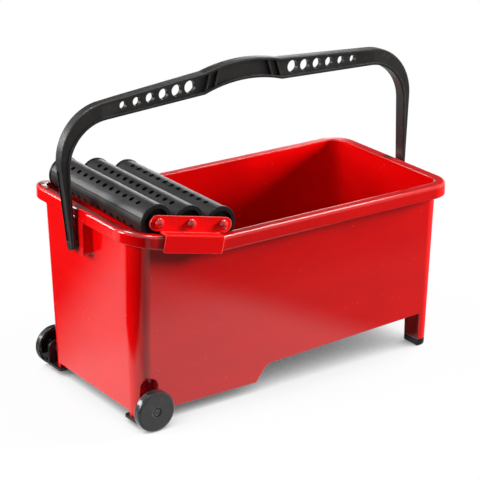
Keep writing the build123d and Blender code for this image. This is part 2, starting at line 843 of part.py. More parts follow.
def plate_plane(y):
    """A sketch plane at y along the ramp, with its second axis square to the ramp."""
    return Plane(origin=ramp_origin + Vector(0, y, 0), x_dir=along, z_dir=(0, -1, 0))


for name, side in sides.items():
    section_plane = Plane(origin=ramp_origin + along * plate_shift, x_dir=(0, side, 0), z_dir=along * side)
    with BuildPart() as roller_plate:
        with BuildSketch(plate_plane(side * plate_inner)):
            with Locations((0, roller_height)):
                SlotOverall(plate_length, plate_height)
            with Locations((plate_shift, (plate_rest + roller_height) / 2)):
                Rectangle(plate_apron, roller_height - plate_rest)
        extrude(amount=-side * plate_thickness)
        with BuildSketch(section_plane):
            Polygon(
                (plate_inner, plate_rest),
                (hook_inner, plate_rest),
                (hook_inner, fold_top - plate_hook),
                (hook_outer, fold_top - plate_hook),
                (hook_outer, fold_top),
                (plate_outer, fold_top),
                (plate_outer, roller_height),
                (plate_inner, roller_height),
                align=None,
            )
        extrude(amount=plate_apron / 2, both=True)
        bend_line = ramp_origin + Vector(0, side * hook_outer, 0) + square * fold_top
        fillet(roller_plate.edges().sort_by_distance(bend_line)[0], plate_bend + plate_thickness / 2)
        hook_corners = [
            ramp_origin + Vector(0, side * hook_outer, 0) + square * (fold_top - plate_hook) + along * shift
            for shift in (plate_shift - plate_apron / 2, plate_shift + plate_apron / 2)
        ]
        fillet([roller_plate.edges().filter_by(Axis.Y).sort_by_distance(point)[0] for point in hook_corners],
               plate_hook_round)
        with BuildSketch(plate_plane(side * plate_inner)):
            with Locations((0, roller_height)):
                with GridLocations(roller_pitch, 0, roller_count, 1):
                    Circle(rod_radius)
        extrude(amount=-side * plate_thickness, mode=Mode.SUBTRACT)
    roller_plate.part.label = "roller_plate_" + name
    export_step(roller_plate.part, "parts/roller_plate_" + name + ".step")

dome_crown = 0.75 * dome_height
dome_radius = ((dome_diameter / 2) ** 2 + dome_crown**2) / (2 * dome_crown)
upward = (Align.CENTER, Align.CENTER, Align.MIN)

with BuildPart() as dome:
    Cylinder(dome_diameter / 2, dome_height, align=upward)
    with Locations((0, 0, dome_height - dome_radius)):
        Sphere(dome_radius, mode=Mode.INTERSECT)
    Cylinder(rod_radius + dome_fit, dome_height / 2 + dome_fit, align=upward, mode=Mode.SUBTRACT)

with BuildPart() as axle_caps:
    for side in sides.values():
        for index in range(roller_count):
            cap_seat = roller_centre(index) + Vector(0, side * plate_outer, 0)
            with Locations(Plane(origin=cap_seat, x_dir=(1, 0, 0), z_dir=(0, side, 0))):
                add(dome.part)
axle_caps.part.label = "axle_caps"
export_step(axle_caps.part, "parts/axle_caps.step")

ring_radius = ring_diameter / 2
shell_radius = shell_diameter / 2
shell_half = roller_half - ring_width
spigot_radius = shell_radius - shell_wall - cap_fit
web_outer = roller_half - cap_recess
web_inner = web_outer - cap_web
cap_bore = rod_radius + rod_clearance
hub_outer = plate_inner - side_play

for index, row_angle in enumerate(row_angles):
    centre = roller_centre(index)
    roller_axis = Axis(centre, (0, 1, 0))
    number = str(index + 1)
    roller_name = "roller_" + number

    with BuildPart() as roller_axle:
        with BuildSketch(Plane(origin=centre, x_dir=(1, 0, 0), z_dir=(0, -1, 0))):
            Circle(rod_radius)
        extrude(amount=plate_outer + dome_height / 2, both=True)
    roller_axle.part.label = "roller_axle_" + number
    export_step(roller_axle.part, "parts/roller_axle_" + number + ".step")

    for half_name, half_turn in (("a", 0.0), ("b", 180.0)):
        middle_angle = row_angle - 45 + half_turn
        end_view = Plane(origin=centre, x_dir=(1, 0, 0), z_dir=(0, -1, 0))
        with BuildPart() as half_shell:
            with BuildSketch(end_view):
                Circle(shell_radius)
                Circle(shell_radius - shell_wall, mode=Mode.SUBTRACT)
                offset_x = -shell_diameter * cos(radians(middle_angle)) / 2
                offset_y = -shell_diameter * sin(radians(middle_angle)) / 2
                with Locations((offset_x, offset_y)):
                    Rectangle(shell_diameter, 2 * shell_diameter, rotation=middle_angle, mode=Mode.SUBTRACT)
            extrude(amount=shell_half, both=True)
            seam_lines = half_shell.edges().filter_by(Axis.Y).filter_by(
                lambda edge: (edge.center() - Vector(centre.X, edge.center().Y, centre.Z)).length
                > shell_radius - shell_wall / 2)
            chamfer(seam_lines, shell_seam)
            for row in (row_angle + half_turn, row_angle - 90 + half_turn):
                outward = Vector(cos(radians(row)), 0, sin(radians(row)))
                with BuildSketch(Plane(origin=centre, x_dir=(0, 1, 0), z_dir=outward)):
                    with GridLocations(perforation_pitch, 0, perforation_count, 1):
                        Circle(perforation / 2)
                extrude(amount=shell_diameter, mode=Mode.SUBTRACT)
        half_shell.part.label = roller_name + "_shell_" + half_name
        export_step(half_shell.part, "parts/" + roller_name + "_shell_" + half_name + ".step")

    for name, side in sides.items():
        with BuildPart() as end_cap:
            with BuildSketch(Plane(origin=centre, x_dir=(1, 0, 0), z_dir=(0, 0, side))):
                Polygon(
                    (cap_bore, web_inner - cap_hub_depth),
                    (cap_hub / 2, web_inner - cap_hub_depth),
                    (cap_hub / 2, web_inner),
                    (spigot_radius - cap_wall, web_inner),
                    (spigot_radius - cap_wall, shell_half - cap_spigot),
                    (spigot_radius, shell_half - cap_spigot),
                    (spigot_radius, shell_half),
                    (ring_radius, shell_half),
                    (ring_radius, roller_half),
                    (spigot_radius - cap_wall, roller_half),
                    (spigot_radius - cap_wall, web_outer),
                    (cap_hub / 2, web_outer),
                    (cap_hub / 2, hub_outer),
                    (cap_bore, hub_outer),
                    align=None,
                )
            revolve(axis=roller_axis)
            rim_edges = end_cap.edges().filter_by(GeomType.CIRCLE).filter_by(
                lambda edge: edge.radius > ring_radius - ring_round)
            fillet(rim_edges.sort_by(Axis.Y)[-1 if side > 0 else 0], ring_round)
        end_cap.part.label = roller_name + "_cap_" + name
        export_step(end_cap.part, "parts/" + roller_name + "_cap_" + name + ".step")
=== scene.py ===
# %% [markdown]
# # A grout cleaning bucket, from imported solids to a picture
# A tiler's bucket is a red moulded trough on two wheels and two capped legs. A channel-section
# carry handle swings on its ends, and three perforated rollers on the rim wring out a sponge
# board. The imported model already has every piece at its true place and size, so this lesson
# sets up a camera, a floor and light, gives the pieces finishes with soft edges, and makes the
# corners of the tub wider.

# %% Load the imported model
import json
import math

import bmesh
import bpy
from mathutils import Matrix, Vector


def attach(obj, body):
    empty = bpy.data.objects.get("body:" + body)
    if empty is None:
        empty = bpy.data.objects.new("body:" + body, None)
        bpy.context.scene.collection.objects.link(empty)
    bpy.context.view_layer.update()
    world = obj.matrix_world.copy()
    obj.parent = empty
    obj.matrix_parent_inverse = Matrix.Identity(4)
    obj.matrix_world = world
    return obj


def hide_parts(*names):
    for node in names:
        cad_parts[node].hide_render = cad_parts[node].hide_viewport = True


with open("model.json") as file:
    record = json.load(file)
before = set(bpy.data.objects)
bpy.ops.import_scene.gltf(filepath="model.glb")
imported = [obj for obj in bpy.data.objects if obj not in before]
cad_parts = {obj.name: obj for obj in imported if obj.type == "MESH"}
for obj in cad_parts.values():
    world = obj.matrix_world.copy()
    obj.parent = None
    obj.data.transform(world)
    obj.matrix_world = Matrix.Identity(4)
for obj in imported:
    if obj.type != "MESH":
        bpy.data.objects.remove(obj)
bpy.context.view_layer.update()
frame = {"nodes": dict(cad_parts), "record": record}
nodes = frame["nodes"]

# %% [markdown]
# ## The camera
# The picture is taken from the wheel end, a little above the rim, with a long lens, so the
# edges that run back hardly draw together. A camera could be placed by eye, but giving its
# bearing, its height angle and its distance from a point in the bucket keeps each of the three
# easy to change without touching the others.

# %% Camera
camera_bearing = math.radians(-34.46)
camera_rise = math.radians(20.64)
camera_distance = 2.7953
camera_target = Vector((-0.00593, 0.0, 0.17881))
camera_lens = 149.4
sensor_width = 36.0

camera_back = Vector((
    math.sin(camera_bearing) * math.cos(camera_rise),
    -math.cos(camera_bearing) * math.cos(camera_rise),
    math.sin(camera_rise),
))
camera_data = bpy.data.cameras.new("camera")
camera_data.lens = camera_lens
camera_data.sensor_width = sensor_width
camera = bpy.data.objects.new("camera", camera_data)
camera.location = camera_target + camera_back * camera_distance
camera.rotation_mode = "QUATERNION"
camera.rotation_quaternion = (-camera_back).to_track_quat("-Z", "Y")
bpy.context.scene.collection.objects.link(camera)
bpy.context.scene.camera = camera
bpy.context.scene.view_settings.view_transform = "Standard"
print("camera at", [round(value, 3) for value in camera.location])

# %% [markdown]
# ## Writing shaders as sums
# Every finish here is a small graph of nodes. Linking them one by one takes pages, so two
# small helpers do the wiring. A Wire is one socket, and adding or multiplying wires adds the
# Math nodes. A Bench is one node tree, and its node method makes any other node: the settings
# go on first, because some of them change which sockets the node has.

# %% Shader helpers


class Wire:
    """One output socket of a node tree, ready for sums."""

    def __init__(self, bench, socket):
        self.bench = bench
        self.socket = socket

    def sum_with(self, operation, first, second):
        """A Math node fed by two wires or numbers."""
        return self.bench.node("ShaderNodeMath", {"operation": operation}, {0: first, 1: second})

    def __add__(self, other):
        return self.sum_with("ADD", self, other)

    __radd__ = __add__

    def __sub__(self, other):
        return self.sum_with("SUBTRACT", self, other)

    def __rsub__(self, other):
        return self.sum_with("SUBTRACT", other, self)

    def __mul__(self, other):
        return self.sum_with("MULTIPLY", self, other)

    __rmul__ = __mul__


class Bench:
    """A node tree under construction."""

    def __init__(self, tree):
        self.tree = tree

    def plug(self, socket, value):
        """Link a wire to a socket, or set the socket's own value."""
        if isinstance(value, Wire):
            self.tree.links.new(value.socket, socket)
        else:
            socket.default_value = value

    def node(self, kind, settings=None, inputs=None, output=0):
        """Make a node, set it up, feed its sockets and hand back one of its outputs."""
        made = self.tree.nodes.new(kind)
        for name, value in (settings or {}).items():
            setattr(made, name, value)
        for name, value in (inputs or {}).items():
            self.plug(made.inputs[name], value)
        return Wire(self, made.outputs[output])

    def finish(self, kind, face):
        """Add the tree's output node and feed it."""
        tree_end = self.tree.nodes.new(kind)
        self.plug(tree_end.inputs["Surface"], face)


print("shader helpers:", Wire.__name__, "and", Bench.__name__)

# %% [markdown]
# ## Asking about rays
# The room and the floor are to look different to the camera, to shiny surfaces and to light that
# only fills in. Pictures taken under different light could be laid over each other, but the Light
# Path node simply says which kind of ray is asking. A dot product tells how far a direction points
# at something, and a smooth step turns that into a soft edge.

# %% Ray helpers


def light_path(bench, answer):
    """What the light path says about the ray at hand, as 0 or 1."""
    return bench.node("ShaderNodeLightPath", output=answer)


def seen_directly(bench):
    """1 where a camera, a shiny surface or a clear one looks, 0 for light that only fills in."""
    camera_ray = light_path(bench, "Is Camera Ray")
    glossy_ray = light_path(bench, "Is Glossy Ray")
    clear_ray = light_path(bench, "Is Transmission Ray")
    return camera_ray + glossy_ray + clear_ray


def dot(bench, first, second):
    """How far two directions agree, or how far along a direction a place lies."""
    return bench.node("ShaderNodeVectorMath", {"operation": "DOT_PRODUCT"}, {0: first, 1: second}, "Value")


def soft_step(bench, value, start, end, low=0.0, high=1.0):
    """A smooth change from low to high while a value goes from start to end."""
    return bench.node(
        "ShaderNodeMapRange",
        {"interpolation_type": "SMOOTHSTEP"},
        {"Value": value, "From Min": start, "From Max": end, "To Min": low, "To Max": high},
    )


print("ray helpers:", [helper.__name__ for helper in (light_path, seen_directly, dot, soft_step)])

# %% [markdown]
# ## The room
# A cut-out product picture has a white surround and only a soft shadow under the object. The
# world is white where a camera or a shiny surface looks at it, and a dim grey as a source of
# light, so the white costs the object no contrast. One place is kept dark for shiny surfaces, as
# by a black flag on a stand: it is what level faces mirror to the camera, and without it the rim
# would be washed out. The flag ends a little above the horizon, so that ridges which are seen at
# a low angle still mirror white.

# %% World
ambient_strength = 0.03
flag_dark = 0.9
flag_edge = math.cos(math.radians(38.0))
flag_core = math.cos(math.radians(25.0))
flag_foot = 0.05
flag_full = 0.2
backdrop_white = (1.0, 1.0, 1.0, 1.0)

world = bpy.data.worlds.new("studio")
world.use_nodes = True
world.node_tree.nodes.clear()
bpy.context.scene.world = world
room = Bench(world.node_tree)

look = room.node("ShaderNodeTexCoord", output="Generated")
look_up = room.node("ShaderNodeSeparateXYZ", inputs={"Vector": look}, output="Z")
flag_place = Vector((-camera_back.x, -camera_back.y, camera_back.z))
flag_cover = soft_step(room, dot(room, look, flag_place), flag_edge, flag_core, high=flag_dark)
above_foot = soft_step(room, look_up, flag_foot, flag_full)
flagged = flag_cover * above_foot * light_path(room, "Is Glossy Ray")
white_share = seen_directly(room) * (1.0 - flagged)
backdrop_strength = white_share * (1.0 - ambient_strength) + ambient_strength
backdrop = room.node(
    "ShaderNodeBackground",
    inputs={"Color": backdrop_white, "Strength": backdrop_strength},
)
room.finish("ShaderNodeOutputWorld", backdrop)
print("world nodes:", len(world.node_tree.nodes))

# %% [markdown]
# ## The floor
# The bucket stands on a white table. An endless plane would do, but a sheet of some metres fills
# all that the camera and the reflections see of it. It lies a hair below the wheels and the feet,
# because two faces in one plane flicker.

# %% Floor sheet
floor_size = 14.0
floor_drop = 0.0003

floor_shape = bmesh.new()
bmesh.ops.create_grid(floor_shape, x_segments=1, y_segments=1, size=floor_size / 2)
bmesh.ops.translate(floor_shape, vec=(0.0, 0.0, -floor_drop), verts=floor_shape.verts)
floor_mesh = bpy.data.meshes.new("floor")
floor_shape.to_mesh(floor_mesh)
floor_shape.free()
floor = bpy.data.objects.new("floor", floor_mesh)
bpy.context.scene.collection.objects.link(floor)
print("floor spans", floor_size, "m")

# %% [markdown]
# ## Dark cards
# A white floor all round would wash out the shiny red sides. Studios lay dark cards on it, out
# of shot, and the sides mirror them as a slow change from pale to deep red. A card here is a
# darkness and a few straight soft edges, each a direction on the floor and the two distances
# along it between which the card sets in. Only shiny surfaces see the cards.

# %% Floor cards
cards = {
    "side": (0.75, [((0.9, -0.436), 0.2, 0.3), ((-0.9, 0.436), -1.25, -1.05)]),
    "front": (0.45, [((0.0, -1.0), 0.33, 0.47)]),
    "front_left": (0.4, [((-1.0, 0.0), 0.2, 0.33), ((0.0, -1.0), 0.2, 0.28)]),
    "left": (0.3, [((-1.0, 0.0), 0.24, 0.28), ((0.0, 1.0), 0.06, 0.18)]),
    "corner": (1.0, [((-1.0, 0.0), 0.4, 0.47), ((0.0, -1.0), -0.2, -0.12)]),
    "end": (0.95, [((1.0, 1.0), -0.19, -0.03), ((-1.0, 0.0), 0.2, 0.26)]),
    "under": (0.95, [
        ((1.0, 0.0), -0.22, -0.18),
        ((-1.0, 0.0), -0.26, -0.22),
        ((0.0, 1.0), -0.1, -0.07),
        ((0.0, -1.0), -0.1, -0.07),
    ]),
}


def new_finish(name):
    """A material with an empty bench, and its object coordinates."""
    material = bpy.data.materials.new(name)
    material.use_nodes = True
    material.node_tree.nodes.clear()
    bench = Bench(material.node_tree)
    place = bench.node("ShaderNodeTexCoord", output="Object")
    return material, bench, place


floor_paper, paper, floor_place = new_finish("floor_paper")
card_light = 1.0
for darkness, edges in cards.values():
    cover = darkness
    for (along_x, along_y), start, end in edges:
        along = dot(paper, floor_place, (along_x, along_y, 0.0))
        cover = cover * soft_step(paper, along, start, end)
    card_light = card_light * (1.0 - cover)
print("cards:", list(cards))

# %% [markdown]
# ## White paper
# With one pale colour, the floor would turn grey away from the lamps and throw red light back
# and forth with the tub. Here a part of it takes the lamps and their shadows. A larger part glows
# white wherever it sees half of the sky or more, and darkens under the bucket, which is the short
# soft shadow of a brightly exposed table. Light that only fills in meets a darker floor, so the
# tub keeps its deep colour.

# %% Floor paper
floor_pale = (0.87, 0.87, 0.87, 1.0)
floor_dim = (0.16, 0.16, 0.16, 1.0)
glow_share = 0.95
white_start = 0.32
white_end = 0.62
shade_reach = 1.0
shade_none = 0.5
shade_samples = 12


def between(bench, share, first, second):
    """A colour part of the way from first to second."""
    return bench.node(
        "ShaderNodeMix",
        {"data_type": "RGBA"},
        {"Factor": share, "A": first, "B": second},
        "Result",
    )


floor_radius = paper.node("ShaderNodeVectorMath", {"operation": "LENGTH"}, {0: floor_place}, "Value")
far_out = soft_step(paper, floor_radius, white_start, white_end, low=glow_share)
openness = paper.node(
    "ShaderNodeAmbientOcclusion",
    {"samples": shade_samples},
    {"Distance": shade_reach},
    "AO",
)
contact_light = paper.node("ShaderNodeMapRange", inputs={"Value": openness, "From Max": shade_none})
camera_look = light_path(paper, "Is Camera Ray")
shiny_look = light_path(paper, "Is Glossy Ray")
paper_colour = between(paper, camera_look, floor_dim, floor_pale)
lit_paper = paper.node("ShaderNodeBsdfDiffuse", inputs={"Color": paper_colour})
glow = 1.0 - camera_look * (1.0 - contact_light) - shiny_look * (1.0 - card_light)
white_paper = paper.node("ShaderNodeEmission", inputs={"Color": backdrop_white, "Strength": glow})
glow_part = camera_look * far_out + (seen_directly(paper) - camera_look)
floor_face = paper.node("ShaderNodeMixShader", inputs={0: glow_part, 1: lit_paper, 2: white_paper})
paper.finish("ShaderNodeOutputMaterial", floor_face)
floor_mesh.materials.append(floor_paper)
print("floor nodes:", len(floor_paper.node_tree.nodes))

# %% [markdown]
# ## The light
# Two soft boxes to the left light the wheel end and the inside of the far end. A strong one far
# to the right only grazes the long side, so the corner turns dark where it turns away. Three more
# behind and above show in reflections alone, as thin bright lines along the rim and the rollers.
# Area lamps are used because their size sets how soft the shadows and how wide the lines are.

# %% Lamps
lamp_aim = Vector((0.0, 0.0, 0.15))


def soft_box(name, spot, size, power):
    """A square area lamp at a spot, turned to the bucket."""
    lamp = bpy.data.lights.new(name, "AREA")
    lamp.shape = "SQUARE"
    lamp.size = size
    lamp.energy = power
    holder = bpy.data.objects.new(name, lamp)
    holder.location = spot
    holder.rotation_mode = "QUATERNION"
    holder.rotation_quaternion = (lamp_aim - Vector(spot)).to_track_quat("-Z", "Y")
    bpy.context.scene.collection.objects.link(holder)
    return holder


key_lamps = [
    soft_box("key_box", spot=(-2.0, 0.2, 0.95), size=0.8, power=44.0),
    soft_box("back_box", spot=(-1.4, 1.4, 0.8), size=0.6, power=16.0),
]
graze_lamp = soft_box("side_box", spot=(3.0, -1.0, 0.95), size=1.1, power=262.0)
graze_lamp.visible_glossy = False
line_lamps = [
    soft_box("ridge_box", spot=(1.05, 1.55, 0.5), size=0.5, power=3.0),
    soft_box("edge_box", spot=(1.0, 0.1, 1.8), size=0.5, power=16.0),
    soft_box("rim_box", spot=(-0.3, 0.3, 2.2), size=0.65, power=28.0),
]
for lamp in line_lamps:
    lamp.visible_diffuse = False
lamps = [*key_lamps, graze_lamp, *line_lamps]
print("lamps:", [lamp.name for lamp in lamps])

# %% [markdown]
# ## Patterns for finishes
# A moulding is never quite even. Noise gives it clouds, grain and drawn-out rubs, and a Voronoi
# pattern gives it dust. A picture of real plastic could be laid on instead, but it would need a
# flat map of every piece and would blur up close. Noise stays near the middle of its range, so it
# is spread out before it is used.

# %% Pattern helpers
noise_middle = 0.5
dot_core = 0.5


def noise(bench, place, lumps, detail=2.0, stretch=(1.0, 1.0, 1.0)):
    """Soft noise with a number of lumps per metre, drawn out along an axis if asked."""
    drawn = bench.node("ShaderNodeMapping", inputs={"Vector": place, "Scale": stretch})
    return bench.node("ShaderNodeTexNoise", inputs={"Vector": drawn, "Scale": lumps, "Detail": detail})


def spread(bench, value, low=0.0, high=1.0, start=0.3, end=0.7):
    """An even change from low to high while a value goes from start to end."""
    return bench.node(
        "ShaderNodeMapRange",
        inputs={"Value": value, "From Min": start, "From Max": end, "To Min": low, "To Max": high},
    )


def specks(bench, place, cell, radius, share):
    """A mask of round specks: cells of a given size hold one dot each, in a share of the cells."""
    feed = {"Vector": place, "Scale": 1.0 / cell}
    distance = bench.node("ShaderNodeTexVoronoi", {"feature": "F1"}, feed, "Distance")
    pick = bench.node("ShaderNodeTexVoronoi", {"feature": "F1"}, feed, "Color")
    lottery = bench.node("ShaderNodeSeparateColor", inputs={"Color": pick}, output="Red")
    dots = spread(bench, distance, 1.0, 0.0, start=dot_core * radius / cell, end=radius / cell)
    chosen = bench.node("ShaderNodeMath", {"operation": "LESS_THAN"}, {0: lottery, 1: share})
    return dots * chosen


print("pattern helpers:", [helper.__name__ for helper in (noise, spread, specks)])

# %% [markdown]
# ## Soft edges
# No moulding or pressing has a perfectly sharp edge, and the thin light line on a rounded edge
# is what makes a model look solid. The edges could be bevelled one by one, but a Bevel node
# rounds the normal wherever two faces meet, at every edge at once. Where the rounded normal
# leaves the true one there is an edge, so the same node also gives a mask for worn edges.

# %% Edge and surface helpers
bevel_samples = 6
edge_turned = 0.72
edge_straight = 0.985


def soft_edges(bench, radius):
    """The normal with its edges rounded over a radius, and a mask that rises at those edges."""
    rounded = bench.node("ShaderNodeBevel", {"samples": bevel_samples}, {"Radius": radius})
    true_normal = bench.node("ShaderNodeNewGeometry", output="Normal")
    likeness = dot(bench, rounded, true_normal)
    return rounded, spread(bench, likeness, 1.0, 0.0, start=edge_turned, end=edge_straight)


def surface(bench, colour, roughness, normal, bump_height, bump_depth, **others):
    """A Principled surface with a bump on its normal. Others are more of its sockets, by name."""
    inputs = {"Base Color": colour, "Roughness": roughness}
    inputs["Normal"] = bench.node(
        "ShaderNodeBump",
        inputs={"Strength": 1.0, "Distance": bump_depth, "Height": bump_height, "Normal": normal},
    )
    inputs.update(others)
    bench.finish("ShaderNodeOutputMaterial", bench.node("ShaderNodeBsdfPrincipled", inputs=inputs))


print("edge and surface helpers:", soft_edges.__name__, "and", surface.__name__)

# %% [markdown]
# ## Moulded red plastic
# The tub is glossy and coloured right through. Up close it has a faint orange peel, slow changes
# of gloss where the melt flowed, and a few pale specks of dust. Noise at two scales gives the
# first two, and dots in the cells of a Voronoi pattern give the dust.

# %% Tub plastic
red_deep = (0.72, 0.001, 0.002, 1.0)
red_light = (0.79, 0.002, 0.002, 1.0)
red_ior = 1.6
flow_lumps = 9.0
flow_stretch = (1.0, 1.0, 2.5)
peel_lumps = 260.0
peel_depth = 0.00004
peel_dull = 0.05
dust_pale = (0.85, 0.42, 0.38, 1.0)
dust_cell = 0.011
dust_radius = 0.0006
dust_cover = 0.6
dust_dull = 0.3
red_edge_shine = 0.04


def red_moulding(name, gloss_low, gloss_high, edge_radius, dust_share):
    """Red plastic between two roughnesses, with soft edges and a share of dust."""
    material, bench, place = new_finish(name)
    flow = noise(bench, place, flow_lumps, detail=3.0, stretch=flow_stretch)
    peel = noise(bench, place, peel_lumps, detail=1.0)
    rounded, edge = soft_edges(bench, edge_radius)
    dust = specks(bench, place, dust_cell, dust_radius, dust_share)
    colour = between(bench, spread(bench, flow), red_deep, red_light)
    colour = between(bench, dust * dust_cover, colour, dust_pale)
    roughness = spread(bench, flow, gloss_low, gloss_high) + (peel - noise_middle) * peel_dull
    roughness = roughness + dust * dust_dull - edge * red_edge_shine
    surface(bench, colour, roughness, rounded, peel, peel_depth, IOR=red_ior)
    return material


tub_plastic = red_moulding(
    "tub_plastic", gloss_low=0.08, gloss_high=0.13, edge_radius=0.0026, dust_share=0.5
)
cap_plastic = red_moulding(
    "cap_plastic", gloss_low=0.08, gloss_high=0.13, edge_radius=0.0006, dust_share=0.1
)
print("made", tub_plastic.name, "and", cap_plastic.name)

# %% [markdown]
# ## Painted steel plates
# The plates that carry the rollers are bent from sheet and painted to match. Sprayed paint has
# soft waves and slow changes of gloss. The mask of the edges lightens the colour along every edge,
# a painted highlight.

# %% Plate paint
paint_red = (0.97, 0.002, 0.003, 1.0)
paint_edge_highlight = (1.0, 0.4, 0.34, 1.0)
paint_ior = 1.35
paint_edge_radius = 0.0013
paint_gloss_low = 0.16
paint_gloss_high = 0.26
wave_lumps = 420.0
wave_depth = 0.00003
patch_lumps = 60.0

plate_paint, bench, place = new_finish("plate_paint")
waves = noise(bench, place, wave_lumps)
patches = noise(bench, place, patch_lumps, detail=3.0)
rounded, edge = soft_edges(bench, paint_edge_radius)
# The edges are lightened to a pale red, a painted highlight.
colour = between(bench, edge, paint_red, paint_edge_highlight)
roughness = spread(bench, patches, paint_gloss_low, paint_gloss_high)
surface(bench, colour, roughness, rounded, waves, wave_depth, IOR=paint_ior)
print("made", plate_paint.name)

# %% [markdown]
# ## Black and grey plastics
# The handle, the rollers, the wheels and the small black mouldings are the same family: dark
# satin plastic with a fine spark-eroded grain. They differ in shade, in gloss and in how scuffed
# they are, so one function makes them. Most of their edges are painted a lighter shade, a painted
# highlight, and are made a little glossier. On the rollers, painted shade darkens the holes, the seam
# and the other edges instead. Black alone would still mirror the white room there as plastic does,
# so the painted shade is set to metal too, and a black metal mirrors next to nothing.

# %% Dark plastics
grain_lumps = 1100.0
grain_depth = 0.00005
cloud_lumps = 38.0
rub_lumps = 170.0
rub_start = 0.56
rub_end = 0.74
worn_start = 0.42
worn_end = 0.62
scuff_dull = 0.08
edge_highlight_cover = 0.6
polish_shine = 0.08
crease_shade_full = 0.35
even = (1.0, 1.0, 1.0)


def dark_moulding(
    name,
    dark,
    light,
    gloss_low,
    gloss_high,
    ior,
    edge_radius,
    painted_edge_colour,
    scuff_colour,
    streak=even,
    shaded_creases=False,
):
    """Dark grained plastic: two shades, two roughnesses, drawn-out scuffs, and painted edges: a painted
    highlight, which shaded_creases turns into painted shade.
    """
    material, bench, place = new_finish(name)
    grain = noise(bench, place, grain_lumps)
    cloud = noise(bench, place, cloud_lumps, detail=4.0)
    rub = noise(bench, place, rub_lumps, detail=3.0, stretch=streak)
    rounded, edge = soft_edges(bench, edge_radius)
    rubbed = spread(bench, rub, start=rub_start, end=rub_end)
    scuff = rubbed * spread(bench, cloud, start=worn_start, end=worn_end)
    # Painted shade: the edges, that is the holes and the seam of the rollers, are darkened and made a
    # black metal.
    crease_shade = spread(bench, edge, start=0.0, end=crease_shade_full) if shaded_creases else 0.0
    colour = between(bench, spread(bench, cloud), dark, light)
    colour = between(bench, scuff, colour, scuff_colour)
    # Edges take the painted edge colour: painted shade where creases are shaded, otherwise a painted
    # highlight.
    colour = between(bench, crease_shade if shaded_creases else edge * edge_highlight_cover, colour, painted_edge_colour)
    roughness = spread(bench, grain, gloss_low, gloss_high) + scuff * scuff_dull - edge * polish_shine
    surface(bench, colour, roughness, rounded, grain, grain_depth, IOR=ior, Metallic=crease_shade)
    return material


print("dark plastics: a function with", grain_lumps, "grains to the metre")

# %% [markdown]
# ## Four dark plastics
# The handle is a charcoal satin, and the rollers are a little darker and rougher, with scuffs that
# run along them. The brackets and foot caps are plain black. The wheels are the glossiest, and the
# rounded rings on their faces get the brightest painted highlight. Each could have a graph of its
# own, but one call per plastic keeps their values side by side.

# %% Handle and roller plastics
along_roller = (1.0, 0.08, 1.0)

handle_plastic = dark_moulding(
    "handle_plastic",
    dark=(0.013, 0.012, 0.0115, 1.0),
    light=(0.021, 0.0195, 0.0185, 1.0),
    gloss_low=0.35,
    gloss_high=0.43,
    ior=1.42,
    edge_radius=0.0008,
    # A painted highlight along the handle's edges.
    painted_edge_colour=(0.13, 0.124, 0.12, 1.0),
    scuff_colour=(0.045, 0.042, 0.04, 1.0),
)
roller_plastic = dark_moulding(
    "roller_plastic",
    dark=(0.01, 0.0092, 0.009, 1.0),
    light=(0.017, 0.0158, 0.0154, 1.0),
    gloss_low=0.36,
    gloss_high=0.46,
    ior=1.45,
    edge_radius=0.001,
    # Painted shade in the rollers' holes, along the seam and at their other edges.
    painted_edge_colour=(0.002, 0.002, 0.002, 1.0),
    scuff_colour=(0.045, 0.043, 0.041, 1.0),
    streak=along_roller,
    shaded_creases=True,
)
print("made", handle_plastic.name, "and", roller_plastic.name)

# %% Bracket and wheel plastics
black_plastic = dark_moulding(
    "black_plastic",
    dark=(0.007, 0.007, 0.008, 1.0),
    light=(0.012, 0.012, 0.013, 1.0),
    gloss_low=0.34,
    gloss_high=0.46,
    ior=1.36,
    edge_radius=0.0009,
    # A painted highlight along the edges of the brackets and foot caps.
    painted_edge_colour=(0.04, 0.04, 0.042, 1.0),
    scuff_colour=(0.018, 0.018, 0.019, 1.0),
)
wheel_plastic = dark_moulding(
    "wheel_plastic",
    dark=(0.017, 0.018, 0.019, 1.0),
    light=(0.028, 0.029, 0.031, 1.0),
    gloss_low=0.1,
    gloss_high=0.17,
    ior=1.5,
    edge_radius=0.0024,
    # A painted highlight on the rounded rings of the wheels' faces.
    painted_edge_colour=(0.22, 0.225, 0.23, 1.0),
    scuff_colour=(0.05, 0.051, 0.054, 1.0),
)
print("made", black_plastic.name, "and", wheel_plastic.name)

# %% [markdown]
# ## Steel
# The roller axles, the screws and the nuts are zinc plated, and the wheel bolts are darker from
# heat and oil. Both are metals, so the colour sits in the reflection. Drawn-out noise stands for
# the fine lines that turning leaves, and a slow one for the dull patches of the plating.

# %% Steels
line_lumps = 900.0
line_stretch = (1.0, 6.0, 1.0)
line_depth = 0.00001
line_dull = 0.04
dull_lumps = 70.0
steel_edge_radius = 0.0004
steel_edge_shine = 0.05


def turned_steel(name, dark, light, gloss_low, gloss_high):
    """Plated steel between two shades and two roughnesses."""
    material, bench, place = new_finish(name)
    lines = noise(bench, place, line_lumps, stretch=line_stretch)
    dull = noise(bench, place, dull_lumps, detail=3.0)
    rounded, edge = soft_edges(bench, steel_edge_radius)
    colour = between(bench, spread(bench, dull), dark, light)
    roughness = spread(bench, dull, gloss_low, gloss_high) + spread(bench, lines, -line_dull, line_dull)
    roughness = roughness - edge * steel_edge_shine
    surface(bench, colour, roughness, rounded, lines, line_depth, Metallic=1.0)
    return material


steel = turned_steel(
    "steel",
    dark=(0.42, 0.42, 0.43, 1.0),
    light=(0.6, 0.6, 0.6, 1.0),
    gloss_low=0.24,
    gloss_high=0.36,
)
dark_steel = turned_steel(
    "dark_steel",
    dark=(0.05, 0.05, 0.053, 1.0),
    light=(0.09, 0.09, 0.093, 1.0),
    gloss_low=0.3,
    gloss_high=0.42,
)
print("made", steel.name, "and", dark_steel.name)

# %% [markdown]
# ## Dressing the solids
# The record names a finish for every piece. Going through it keeps the two in step: a piece
# that is added to the model later is dressed with no change here.

